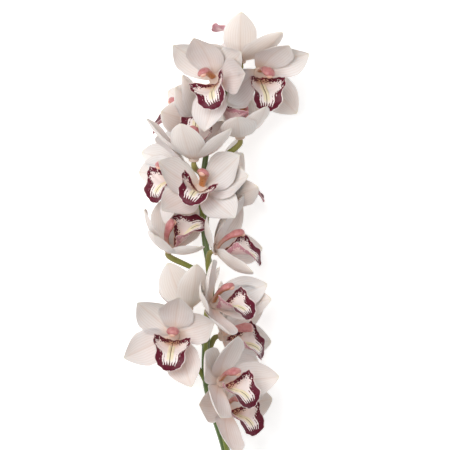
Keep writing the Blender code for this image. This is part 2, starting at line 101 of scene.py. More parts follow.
# A bloom's place, the way it faces (x right, y along the stem, z up), the way its top sepal points,
# where its five tepals' tips lie in the plan with 1 for up and -1 for down, and how far up the stem
# its pedicel leaves (0 to 1). Tepals go round from the top sepal: petal, sepal, sepal, petal.
Bloom = namedtuple("Bloom", "at face crest tips node")
BLOOMS = (
    Bloom((241, 60, 62), (0.00, 0.97, -0.20), (0.87, 0.05, 0.40),
          ((281, 33, 1), (241, 12, 1), (203, 46, 1), (236, 32, -1), (260, 16, -1)), 0.975),
    Bloom((215, 80, 88), (-0.30, -0.05, 0.95), (-0.40, 0.90, 0.00),
          ((194, 44, 1), (241, 60, 1), (241, 92, 1), (196, 114, 1), (180, 57, 1)), 0.89),
    Bloom((259, 72, 66), (0.30, -0.30, 0.90), (0.10, 0.95, 0.20),
          ((288, 53, 1), (288, 82, 1), (291, 113, -1), (243, 104, 1), (234, 90, 1)), 0.915),
    Bloom((197, 118, 42), (-0.80, 0.35, 0.10), (0.30, 0.90, 0.20),
          ((180, 76, 1), (170, 98, 1), (150, 122, 1), (158, 138, -1), (172, 104, -1)), 0.82),
    Bloom((194, 159, 94), (0.00, 0.92, 0.24), (-0.10, 0.10, 1.00),
          ((186, 113, 1), (230, 128, 1), (224, 108, -1), (176, 110, -1), (150, 114, -1)), 0.775),
    Bloom((240, 136, 66), (-0.10, 0.95, 0.30), (0.85, 0.20, -0.40),
          ((262, 88, -1), (263, 104, 1), (232, 110, 1), (210, 104, -1), (238, 84, -1)), 0.785),
    Bloom((182, 170, 48), (-0.70, -0.05, 0.65), (0.10, 1.00, 0.10),
          ((154, 136, 1), (184, 136, 1), (160, 206, 1), (137, 172, -1), (140, 151, -1)), 0.715),
    Bloom((201, 188, 70), (-0.02, 0.30, 0.95), (0.40, 0.90, -0.20),
          ((238, 156, 1), (247, 176, 1), (226, 220, 1), (160, 202, 1), (165, 160, 1)), 0.69),
    Bloom((218, 195, 46), (0.80, 0.55, 0.05), (-0.50, 0.75, 0.00),
          ((249, 139, -1), (275, 155, -1), (265, 183, -1), (262, 200, 1), (245, 168, 1)), 0.665),
    Bloom((169, 249, 67), (0.30, 0.80, 0.50), (-0.90, 0.20, 0.30),
          ((152, 206, 1), (165, 197, -1), (197, 202, -1), (200, 236, 1), (157, 232, 1)), 0.592),
    Bloom((216, 250, 72), (0.88, 0.36, 0.25), (-0.35, 0.90, 0.20),
          ((243, 192, 1), (260, 210, -1), (268, 244, -1), (256, 268, 1), (206, 217, 1)), 0.562),
    Bloom((188, 309, 46), (-0.25, 0.92, -0.15), (-0.10, 0.15, 0.98),
          ((168, 256, 1), (157, 278, -1), (172, 262, -1), (210, 262, -1), (200, 258, 1)), 0.465),
    Bloom((213, 304, 84), (0.65, 0.40, 0.65), (-0.45, 0.85, -0.10),
          ((229, 264, 1), (269, 281, 1), (272, 298, -1), (240, 320, 1), (204, 288, 1)), 0.455),
    Bloom((174, 335, 66), (-0.05, -0.10, 0.99), (0.10, 1.00, 0.10),
          ((180, 298, 1), (207, 322, 1), (190, 374, 1), (147, 350, 1), (139, 303, 1)), 0.40),
    Bloom((222, 337, 42), (0.93, 0.10, 0.30), (-0.20, 0.80, 0.50),
          ((245, 283, -1), (268, 308, -1), (288, 331, -1), (262, 375, -1), (222, 282, 1)), 0.405),
    Bloom((220, 381, 84), (0.60, 0.15, 0.78), (-0.40, 0.90, 0.00),
          ((240, 336, 1), (256, 361, -1), (278, 383, -1), (229, 408, 1), (208, 349, 1)), 0.32),
    Bloom((226, 408, 52), (0.60, 0.10, 0.75), (-0.20, 0.95, 0.10),
          ((232, 352, -1), (268, 375, -1), (273, 402, -1), (249, 438, 1), (205, 386, 1)), 0.22),
)


def from_plan(place):
    """A place in the plan, given in steps, in metres."""
    x, y, height = place
    return Vector((x - PLAN_MIDDLE[0], PLAN_MIDDLE[1] - y, height)) * STEP


def bloom_frame(bloom):
    """The bloom's own axes in the stem's frame: right, crest and face, at its place."""
    face = Vector(bloom.face).normalized()
    crest = Vector(bloom.crest)
    crest = (crest - face * crest.dot(face)).normalized()
    turn = Matrix((crest.cross(face), crest, face)).transposed()
    return Matrix.Translation(from_plan(bloom.at)) @ turn.to_4x4()


def smooth_line(points, count):
    """count points, evenly spaced along a smooth line through the given ones."""
    padded = [points[0] * 2 - points[1], *points, points[-1] * 2 - points[-2]]
    fine = []
    for a, b, c, d in zip(padded, padded[1:], padded[2:], padded[3:]):
        for step in range(CURVE_STEPS):
            t = step / CURVE_STEPS
            bend = (2 * a - 5 * b + 4 * c - d) * t * t + (3 * b - a - 3 * c + d) * t**3
            fine.append(0.5 * (2 * b + (c - a) * t + bend))
    fine.append(points[-1])
    lengths = [0.0]
    for first, second in zip(fine, fine[1:]):
        lengths.append(lengths[-1] + (second - first).length)
    result = []
    for index in range(count):
        want = lengths[-1] * index / (count - 1)
        step = next(i for i in range(1, len(fine)) if lengths[i] >= want - 1e-12)
        t = (want - lengths[step - 1]) / (lengths[step] - lengths[step - 1])
        result.append(fine[step - 1].lerp(fine[step], t))
    return result


STEM_PLACES = smooth_line([from_plan(place) for place in STEM_LINE], STEM_STEPS + 1)


def on_stem(share):
    """The place that share of the way up the stem."""
    return STEM_PLACES[round(share * STEM_STEPS)]


def pedicel_line(bloom):
    """From inside the stem, up beside it, round to the back of the bloom's cup."""
    root = on_stem(bloom.node)
    above = on_stem(min(1.0, bloom.node + NODE_NUDGE))
    ahead = (above - on_stem(bloom.node - NODE_NUDGE)).normalized()
    spot = bloom_frame(bloom)
    face = spot.to_3x3().col[2]
    end = spot.translation - face * (CUP_DEPTH - CUP_FRONT + SEAT_GAP)
    reach = (end - root).length
    out = (end - root).normalized()
    first = root + (ahead * PEDICEL_AHEAD + out * PEDICEL_OUT) * reach * PEDICEL_PULL
    last = end - face * min(PEDICEL_NECK, reach * PEDICEL_PULL)
    tip, end = end, end - face * PEDICEL_TIP
    line = []
    for ring in range(PEDICEL_RINGS):
        t = ring / (PEDICEL_RINGS - 1)
        near = root * (1 - t) ** 3 + first * 3 * t * (1 - t) ** 2
        line.append(near + last * 3 * t * t * (1 - t) + end * t**3)
    return [*line, tip]


def tube(shape, line, radius_at, sides, part):
    """Adds a closed tube along a line, and marks it for the material: how far along each point is,
    which part of the plant it is (0 stalk, 1 pedicel) and whether it is on the cut end."""
    marks = shape.verts.layers.float_vector
    mark = marks.get("growth") or marks.new("growth")
    frames = []
    side = (line[1] - line[0]).orthogonal()
    for index, point in enumerate(line):
        heading = (line[min(index + 1, len(line) - 1)] - line[max(index - 1, 0)]).normalized()
        side = (side - heading * side.dot(heading)).normalized()
        frames.append((point, side, heading.cross(side)))
    rows = [0, 0, *range(len(line)), len(line) - 1]
    made = bmesh.ops.create_grid(shape, x_segments=sides, y_segments=len(rows) - 1, size=1.0)["verts"]
    for vertex in made:
        row = round((vertex.co.y + 1) / 2 * (len(rows) - 1))
        share = rows[row] / (len(line) - 1)
        angle = math.pi * vertex.co.x
        point, across, up = frames[rows[row]]
        radius = 0.0 if row in (0, len(rows) - 1) else radius_at(share, angle)
        vertex.co = point + (across * math.cos(angle) + up * math.sin(angle)) * radius
        vertex[mark] = (share, part, 1.0 if row < 2 and part == 0 else 0.0)
    bmesh.ops.remove_doubles(shape, verts=made, dist=1e-7)


def stalk_radius(share, angle):
    """Thick at the cut, slim at the tip, and faintly ridged. The ridges only go inwards."""
    ridge = 1 - STEM_RIDGE_DEPTH * (1 - math.cos(STEM_RIDGES * angle + STEM_TWIST * share))
    return (STEM_BASE_RADIUS + (STEM_TIP_RADIUS - STEM_BASE_RADIUS) * share**STEM_TAPER) * ridge


def pedicel_radius(share, angle):
    """Slim at the stem, and swelling into the grooved ovary behind the bloom."""
    groove = 1 - PEDICEL_GROOVE_DEPTH * share * (1 - abs(math.cos(PEDICEL_GROOVES * angle)))
    swell = OVARY_SWELL * math.sin(math.pi * share**OVARY_PLACE)
    return PEDICEL_RADIUS * (PEDICEL_SLIM + swell) * groove


def as_piece(name, shape, look, crease):
    """The finished mesh as a smooth object, with edges sharper than crease degrees kept sharp."""
    mesh = bpy.data.meshes.new(name)
    shape.to_mesh(mesh)
    shape.free()
    mesh.materials.append(look)
    mesh.shade_smooth()
    mesh.set_sharp_from_angle(angle=math.radians(crease))
    made = bpy.data.objects.new(name, mesh)
    bpy.context.scene.collection.objects.link(made)
    return made


def colour(code):
    """A colour written as red, green and blue on a screen, as the light it stands for."""
    light = []
    for start in (0, 2, 4):
        value = int(code[start : start + 2], 16) / 255
        light.append(value / 12.92 if value <= 0.04045 else ((value + 0.055) / 1.055) ** 2.4)
    return (*light, 1.0)


def add(tree, kind, inputs, **settings):
    """Adds a node to a material. An input takes a value or another node's output."""
    made = tree.nodes.new("ShaderNode" + kind)
    for name, value in settings.items():
        setattr(made, name, value)
    for socket, value in inputs.items():
        if isinstance(value, bpy.types.NodeSocket):
            tree.links.new(value, made.inputs[socket])
        else:
            made.inputs[socket].default_value = value
    return made


def new_material(name):
    made = bpy.data.materials.new(name)
    made.use_nodes = True
    return made, made.node_tree, made.node_tree.nodes["Principled BSDF"]


# Sockets of a colour mix
FIRST, SECOND, MIXED = 6, 7, 2


def green_stem():
    """Smooth plant skin: a cool mid green stalk with faint lengthwise streaks and a pale, pithy cut,
    and pedicels of a yellower green that turns brownish towards the bloom."""
    made, tree, shader = new_material("Green stem skin")
    mark = add(tree, "Attribute", {}, attribute_name="growth").outputs["Vector"]
    parts = add(tree, "SeparateXYZ", {0: mark}).outputs
    place = add(tree, "TexCoord", {}).outputs["Object"]
    long_way = add(tree, "Mapping", {"Vector": place, "Scale": (1.0, 0.06, 1.0)}).outputs[0]
    fine = {"Vector": long_way, "Scale": 1 / (1.1 * MM), "Detail": 3.0}
    streaks = add(tree, "TexNoise", fine).outputs["Fac"]
    patches = add(tree, "TexNoise", {"Vector": place, "Scale": 1 / (9 * MM), "Detail": 2.0}).outputs["Fac"]
    stalk = add(tree, "Mix", {0: patches, FIRST: colour("4A6227"), SECOND: colour("66794A")},
                data_type="RGBA")
    edges = {"Value": parts[0], "From Min": 0.35, "From Max": 1.0, "To Max": 0.7}
    tan = add(tree, "MapRange", edges).outputs[0]
    limb = add(tree, "Mix", {0: tan, FIRST: colour("7F8A3C"), SECOND: colour("A08A55")},
               data_type="RGBA")
    skin = add(tree, "Mix", {0: parts[1], FIRST: stalk.outputs[MIXED], SECOND: limb.outputs[MIXED]},
               data_type="RGBA")
    lines = add(tree, "MapRange", {"Value": streaks, "From Min": 0.45, "From Max": 0.75, "To Max": 0.35})
    lined = add(tree, "Mix", {0: lines.outputs[0], FIRST: skin.outputs[MIXED], SECOND: colour("93A062")},
                data_type="RGBA")
    pith = add(tree, "Mix", {0: parts[2], FIRST: lined.outputs[MIXED], SECOND: colour("C9CF9C")},
               data_type="RGBA")
    tree.links.new(pith.outputs[MIXED], shader.inputs["Base Color"])
    shader.inputs["Roughness"].default_value = 0.38
    shader.inputs["Subsurface Weight"].default_value = 0.15
    shader.inputs["Subsurface Radius"].default_value = (0.5, 1.0, 0.3)
    shader.inputs["Subsurface Scale"].default_value = 1.0 * MM
    bump = add(tree, "Bump", {"Height": streaks, "Strength": 0.25, "Distance": 0.2 * MM})
    tree.links.new(bump.outputs[0], shader.inputs["Normal"])
    return made


greenery = bmesh.new()
stalk_line = smooth_line([from_plan(place) for place in STEM_LINE], STEM_RINGS)
tube(greenery, stalk_line, stalk_radius, STEM_SIDES, 0.0)
for bloom in BLOOMS:
    tube(greenery, pedicel_line(bloom), pedicel_radius, PEDICEL_SIDES, 1.0)
bmesh.ops.recalc_face_normals(greenery, faces=greenery.faces)
stem = as_piece("green_stem", greenery, green_stem(), 50)
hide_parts("stem")
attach(stem, "root")

# Tepals: the three sepals and two petals of each bloom, thick and waxy, warm white with a peach base
# that painted shade deepens to tan where they meet at the cup.
# All five grow from the round cup at the top of the ovary. Each is cupped across, curved forward
# along its length and a little wavy at its edges.
SEPAL = (57 * MM, 36 * MM)
PETAL = (56 * MM, 34 * MM)
KINDS = (SEPAL, PETAL, SEPAL, SEPAL, PETAL)
TEPAL_BODY = 1.0 * MM
TEPAL_START = 3.3 * MM
TEPAL_SEAT = 0.6 * MM
TEPAL_TURN = math.radians(40)
TEPAL_HOLLOW = 0.85
DEEPEST_LEAN = math.radians(50)
PETAL_STEP = 0.5 * MM
TEPAL_ROWS = 34
TEPAL_COLUMNS = 18
TEPAL_WAVE = 1.7 * MM
TEPAL_GROOVE = 0.35 * MM
TEPAL_SKEW = 1.2 * MM
ROOT_SHARE = 0.7
CUP_RADIUS = 5.6 * MM
CUP_TAPER = 0.8
CUP_ROUNDING = 0.9 * MM
CUP_SIDES = 24
TIP_CROWDING = 1.3
THIN_AT_TIP = 9
THIN_AT_ROOT = 12
NUDGE = 0.01
SHORTEST_TIP = 40 * MM
TIP_PAIR = 1.6 * MM
TIPS_APART = 0.3 * MM
LEAST_STRETCH = 0.99


def arc(start, turn, length, share):
    """Where an arc of that length is after a share of it: its place and heading, in its own plane."""
    heading = start + turn * share
    radius = length / turn
    ahead = radius * (math.sin(heading) - math.sin(start))
    aside = radius * (math.cos(start) - math.cos(heading))
    return ahead, aside, heading


def chord(kind):
    """How far apart the ends of a tepal are, before any stretch."""
    return arc(-TEPAL_TURN / 2, TEPAL_TURN, kind[0], 1.0)[0]


def home_way(bloom, index):
    """The direction to a tepal's tip over its place in the plan."""
    x, y, side = bloom.tips[index]
    flat = from_plan((x, y, 0)) - from_plan((*bloom.at[:2], 0))
    reach = ROOT_SHARE * TEPAL_START + chord(KINDS[index])
    if flat.length < reach:
        flat.z = side * math.sqrt(reach**2 - flat.length**2)
    face = Vector(bloom.face).normalized()
    outward = (flat - face * face.dot(flat)).normalized()
    lean = min(DEEPEST_LEAN, math.atan2(face.dot(flat), outward.dot(flat)))
    return outward * math.cos(lean) + face * math.sin(lean)


def cad_tips(node, bloom):
    """The tips of the CAD's five tepals, in the order of the bloom's table. A tip is a corner farther
    from the bloom's middle than all those next to it, and each goes to the home way nearest to it."""
    middle = from_plan(bloom.at)
    shape = bmesh.new()
    shape.from_mesh(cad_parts[node].data)
    bmesh.ops.remove_doubles(shape, verts=shape.verts, dist=1e-6)
    tips = []
    for vertex in shape.verts:
        reach = (vertex.co - middle).length
        near = [edge.other_vert(vertex) for edge in vertex.link_edges]
        if reach < SHORTEST_TIP or any((other.co - middle).length >= reach for other in near):
            continue
        pair = [vertex.co, *(other.co for other in near if (other.co - vertex.co).length < TIP_PAIR)]
        face = Vector(bloom.face).normalized()
        back = min(pair, key=lambda corner: corner.dot(face))
        if all((back - tip).length > TIPS_APART for tip in tips):
            tips.append(back.copy())
    shape.free()
    tips = sorted(tips, key=lambda tip: -(tip - middle).length)[: len(KINDS)]
    homes = [home_way(bloom, index) for index in range(len(KINDS))]

    def misfit(order):
        total = 0.0
        for tip, home, kind in zip(order, homes, KINDS):
            total += (tip - middle).normalized().angle(home) ** 2
            if tepal_frame(bloom, tip)[1] < LEAST_STRETCH * chord(kind):
                total += 1.0
        return total

    return min(itertools.permutations(tips), key=misfit)


def tepal_frame(bloom, tip):
    """The axes of the tepal whose tip is there, and how far its root is from it."""
    face = Vector(bloom.face).normalized()
    seat = from_plan(bloom.at) - face * TEPAL_SEAT
    reach = tip - seat
    outward = (reach - face * reach.dot(face)).normalized()
    root = seat + outward * TEPAL_START
    way = (tip - root).normalized()
    inner = (face - way * face.dot(way)).normalized()
    turn = Matrix((way, inner.cross(way), inner)).transposed()
    return Matrix.Translation(root) @ turn.to_4x4(), (tip - root).length


def tepal_half_width(along):
    """Narrow where it grows from the ovary, widest past the middle, and drawn to a point."""
    return min(1.0, math.sin(math.pi * along**1.12) ** 0.75 + 0.26 * (1 - along) ** 3)


def leaf(shape, rows, columns, place, front_out, back_out, spread):
    """Adds a closed thin leaf: a front and a back that meet at its rim, each that far in front of the
    places given. It is marked for the material with its place across (-1 to 1) and along (0 to 1),
    and 1 on its front side."""
    marks = shape.verts.layers.float_vector
    mark = marks.get("leaf") or marks.new("leaf")
    made = []
    for front, out in ((1, front_out), (0, back_out)):
        grid = bmesh.ops.create_grid(shape, x_segments=columns, y_segments=rows, size=1.0)["verts"]
        for vertex in grid:
            across = math.copysign(abs(vertex.co.x) ** spread, vertex.co.x)
            along = 1 - (1 - (vertex.co.y + 1) / 2) ** TIP_CROWDING
            vertex[mark] = (across, along, front)
            vertex.co = place(across, along)
            out_here = out * math.sqrt(max(0.0, 1 - across * across))
            out_here *= math.sqrt(min(1.0, THIN_AT_TIP * max(0.0, 1 - along), THIN_AT_ROOT * along))
            if out_here:
                a = place(across, min(1.0, along + NUDGE)) - place(across, max(0.0, along - NUDGE))
                b = place(min(1.0, across + NUDGE), along) - place(max(-1.0, across - NUDGE), along)
                vertex.co += a.cross(b).normalized() * out_here
        made += grid
    bmesh.ops.remove_doubles(shape, verts=made, dist=1e-6)
    return [vertex for vertex in made if vertex.is_valid]


def add_tepal(shape, bloom, index, tip, chance):
    """Adds one tepal that ends at the CAD's tip, with waves and a skew of its own."""
    length, width = KINDS[index]
    spot, reach = tepal_frame(bloom, tip)
    stretched = length * reach / chord(KINDS[index])
    step = PETAL_STEP if KINDS[index] is PETAL else 0.0
    phase = chance.uniform(0, 6.28)
    waves = chance.uniform(5, 9)
    ripple = TEPAL_WAVE * chance.uniform(0.5, 1.0)
    skew = chance.uniform(-1, 1) * TEPAL_SKEW

    def place(across, along):
        out, forward, heading = arc(-TEPAL_TURN / 2, TEPAL_TURN, stretched, along)
        half = width / 2 * (0.0 if along >= 1.0 else tepal_half_width(along))
        hollow = TEPAL_HOLLOW * (0.4 + 0.6 * along)
        side = half * math.sin(hollow * across) / hollow + skew * math.sin(math.pi * along)
        lift = half * (1 - math.cos(hollow * across)) / hollow
        edge = abs(across) ** 3 * math.sin(math.pi * along)
        lift += ripple * edge * math.sin(waves * along + phase + 1.7 * math.copysign(1, across))
        lift -= TEPAL_GROOVE * math.exp(-((across * 9) ** 2)) * math.sin(math.pi * along) ** 0.5
        x = out - lift * math.sin(heading)
        return Vector((x, side, step * (1 - along) + forward + lift * math.cos(heading)))

    made = leaf(shape, TEPAL_ROWS, TEPAL_COLUMNS, place, TEPAL_BODY, 0.0, 1.0)
    bmesh.ops.transform(shape, matrix=spot, verts=made)
    tone = shape.verts.layers.float["tone"]
    shade = chance.uniform(0, 1)
    for vertex in made:
        vertex[tone] = shade
        vertex.co.z = max(vertex.co.z, 0.0)


def waxy_tepal():
    """Petal flesh: warm white with a satin wax, faint lengthwise veins and a soft pink and peach flush
    that deepens on the back, a peach base darkened to tan by painted shade where the tepals meet, and thin
    enough to glow a little."""
    made, tree, shader = new_material("Waxy white tepal")
    mark = add(tree, "Attribute", {}, attribute_name="leaf").outputs["Vector"]
    across, along, front = add(tree, "SeparateXYZ", {0: mark}).outputs
    tone = add(tree, "Attribute", {}, attribute_name="tone").outputs["Fac"]
    place = add(tree, "TexCoord", {}).outputs["Object"]
    clouds = add(tree, "TexNoise", {"Vector": place, "Scale": 1 / (14 * MM), "Detail": 3.0}).outputs["Fac"]
    flush = add(tree, "Math", {0: clouds, 1: tone}, operation="MULTIPLY").outputs[0]
    flushed = add(tree, "Mix", {0: flush, FIRST: colour("EFEBE8"), SECOND: colour("E4D5CE")},
                  data_type="RGBA")
    back = add(tree, "MapRange", {"Value": front, "To Min": 0.55, "To Max": 0.0}).outputs[0]
    backed = add(tree, "Mix", {0: back, FIRST: flushed.outputs[MIXED], SECOND: colour("E2D7D0")},
                 data_type="RGBA")
    off = add(tree, "Math", {0: across}, operation="ABSOLUTE").outputs[0]
    edges = {"Value": off, "From Min": 0.14, "From Max": 0.0, "To Max": 0.35}
    rib = add(tree, "MapRange", edges, interpolation_type="SMOOTHSTEP").outputs[0]
    ribbed = add(tree, "Mix", {0: rib, FIRST: backed.outputs[MIXED], SECOND: colour("DBC9BD")},
                 data_type="RGBA")
    wander = add(tree, "Math", {0: across, 1: 44.0, 2: clouds}, operation="MULTIPLY_ADD").outputs[0]
    wave = add(tree, "Math", {0: wander}, operation="SINE").outputs[0]
    veins = add(tree, "MapRange", {"Value": wave, "From Min": 0.35, "From Max": 1.0, "To Max": 0.20},
                interpolation_type="SMOOTHSTEP").outputs[0]
    veined = add(tree, "Mix", {0: veins, FIRST: ribbed.outputs[MIXED], SECOND: colour("CBB4A6")},
                 data_type="RGBA")
    # Peach at the base, darkened to tan by painted shade where the tepals meet at the cup
    edges = {"Value": along, "From Min": 0.30, "From Max": 0.02, "To Max": 0.45}
    root = add(tree, "MapRange", edges, interpolation_type="SMOOTHSTEP").outputs[0]
    peach_base_and_painted_shade = add(tree, "Mix", {0: root, FIRST: veined.outputs[MIXED], SECOND: colour("D2A98A")},
                 data_type="RGBA")
    edges = {"Value": along, "From Min": 0.93, "From Max": 1.0, "To Max": 0.4}
    end = add(tree, "MapRange", edges).outputs[0]
    ended = add(tree, "Mix", {0: end, FIRST: peach_base_and_painted_shade.outputs[MIXED], SECOND: colour("D8D2AE")},
                data_type="RGBA")
    tree.links.new(ended.outputs[MIXED], shader.inputs["Base Color"])
    shader.inputs["Roughness"].default_value = 0.45
    shader.inputs["Specular IOR Level"].default_value = 0.35
    shader.inputs["Subsurface Weight"].default_value = 0.45
    shader.inputs["Subsurface Radius"].default_value = (1.0, 0.85, 0.75)
    shader.inputs["Subsurface Scale"].default_value = 2.0 * MM
    fine = {"Vector": place, "Scale": 1 / (0.5 * MM), "Detail": 2.0}
    cells = add(tree, "TexNoise", fine).outputs["Fac"]
    relief = add(tree, "Math", {0: wave, 1: 0.35, 2: cells}, operation="MULTIPLY_ADD").outputs[0]
    bump = add(tree, "Bump", {"Height": relief, "Strength": 0.2, "Distance": 0.15 * MM})
    tree.links.new(bump.outputs[0], shader.inputs["Normal"])
    return made


tepal_look = waxy_tepal()
for number, bloom in enumerate(BLOOMS, 1):
    chance = random.Random(number)
    flower = bmesh.new()
    flower.verts.layers.float.new("tone")
    round_cup = bmesh.ops.create_cone(flower, cap_ends=True, segments=CUP_SIDES,
                                      radius1=CUP_RADIUS * CUP_TAPER, radius2=CUP_RADIUS,
                                      depth=CUP_DEPTH)
    cup = round_cup["verts"]
    bmesh.ops.translate(flower, vec=(0, 0, CUP_FRONT - CUP_DEPTH / 2), verts=cup)
    bmesh.ops.transform(flower, matrix=bloom_frame(bloom), verts=cup)
    rims = [edge for edge in flower.edges if not edge.is_boundary and edge.calc_face_angle(0) > 1.0]
    bmesh.ops.bevel(flower, geom=rims, offset=CUP_ROUNDING, segments=3, profile=0.5, affect="EDGES",
                    material=-1)
    for index, tip in enumerate(cad_tips(f"bloom_{number:02d}_tepals", bloom)):
        add_tepal(flower, bloom, index, tip, chance)
    bmesh.ops.recalc_face_normals(flower, faces=flower.faces)
    tepals = as_piece(f"tepals_{number:02d}", flower, tepal_look, 60)
    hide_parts(f"bloom_{number:02d}_tepals")
    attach(tepals, "root")

# Lips: each bloom's sixth, showy petal, fleshy and velvety. Its two side lobes stand up round the
# column, and its middle lobe curls down in front with a burgundy band inside its pale, frilled edge.
# Two cream keels run down its middle. It grows from its narrow base at the front of the cup.
LIP_BODY = 0.9 * MM
LIP_START = 4.8 * MM
LIP_SEAT = 0.9 * MM
LIP_FLOOR = 14 * MM
LIP_FLOOR_DROP = math.radians(22)
LIP_BEND = 8 * MM
LIP_LEVEL = math.radians(6)
LIP_MIDLOBE = 22 * MM
LIP_CURL = math.radians(98)
LIP_LENGTH = LIP_FLOOR + LIP_BEND + LIP_MIDLOBE
LIP_WIDTHS = (
    (0.0, 3.6), (0.12, 8), (0.25, 14), (0.36, 22), (0.45, 26), (0.52, 23), (0.58, 17),
    (0.64, 15), (0.74, 15), (0.86, 12), (0.95, 6.5), (1.0, 1.5),
)
LIP_WRAPS = (
    (0.0, 0.9), (0.12, 1.3), (0.3, 1.65), (0.46, 1.5), (0.58, 0.95), (0.72, 0.45), (1.0, 0.15),
)
LIP_ROWS = 60
LIP_COLUMNS = 52
LIP_SPREAD = 1.35
KEEL_HEIGHT = 1.2 * MM
KEEL_OFF = 1.7 * MM
KEEL_WIDTH = 0.8 * MM
FRILL = 0.9 * MM

# How far the lip's markings reach in from its free edge, in millimetres
BAND_WIDTH = 6.0
STREAK_REACH = 12.0
FLECK_REACH = 13.0


def blend(x, points):
    """The value at x on a smooth line through (x, value) points."""
    for (x0, y0), (x1, y1) in zip(points, points[1:]):
        if x <= x1:
            t = max(0.0, (x - x0) / (x1 - x0))
            return y0 + (y1 - y0) * t * t * (3 - 2 * t)
    return points[-1][1]


def lip_line(along):
    """The lip's middle line seen from the side: how far ahead, how far down, and its heading down."""
    went = along * LIP_LENGTH
    ahead = min(went, LIP_FLOOR) * math.cos(LIP_FLOOR_DROP)
    down = min(went, LIP_FLOOR) * math.sin(LIP_FLOOR_DROP)
    if went <= LIP_FLOOR:
        return ahead, down, LIP_FLOOR_DROP
    share = min(1, (went - LIP_FLOOR) / LIP_BEND)
    more, fall, heading = arc(LIP_FLOOR_DROP, -LIP_LEVEL, LIP_BEND, share)
    ahead, down = ahead + more, down + fall
    if went > LIP_FLOOR + LIP_BEND:
        share = (went - LIP_FLOOR - LIP_BEND) / LIP_MIDLOBE
        more, fall, heading = arc(LIP_FLOOR_DROP - LIP_LEVEL, LIP_CURL, LIP_MIDLOBE, share)
        ahead, down = ahead + more, down + fall
    return ahead, down, heading


def lip_place(across, along, phase):
    """A point of the lip in the bloom's own frame: X to its right, Y to its top sepal, Z forward."""
    ahead, drop, heading = lip_line(along)
    half = blend(along, LIP_WIDTHS) * MM
    wrap = blend(along, LIP_WRAPS) or 1e-6
    side = half * math.sin(wrap * across) / wrap
    lift = half * (1 - math.cos(wrap * across)) / wrap
    off = abs(half * across)
    keel = blend(along, ((0.2, 0), (0.34, 1), (0.56, 1), (0.63, 0)))
    lift += KEEL_HEIGHT * keel * math.exp(-(((off - KEEL_OFF) / KEEL_WIDTH) ** 2))
    frill = FRILL * blend(along, ((0.58, 0), (0.70, 1), (1.0, 1))) * abs(across) ** 3
    lift += frill * math.sin(26 * along + 2 * across + phase * (1 if across > 0 else 2))
    pucker = 0.5 * FRILL * blend(along, ((0.90, 0), (1.0, 1)))
    lift += pucker * math.cos(9 * across + phase)
    y = -LIP_START - drop + lift * math.cos(heading)
    return Vector((side, y, CUP_FRONT + LIP_SEAT + ahead + lift * math.sin(heading)))


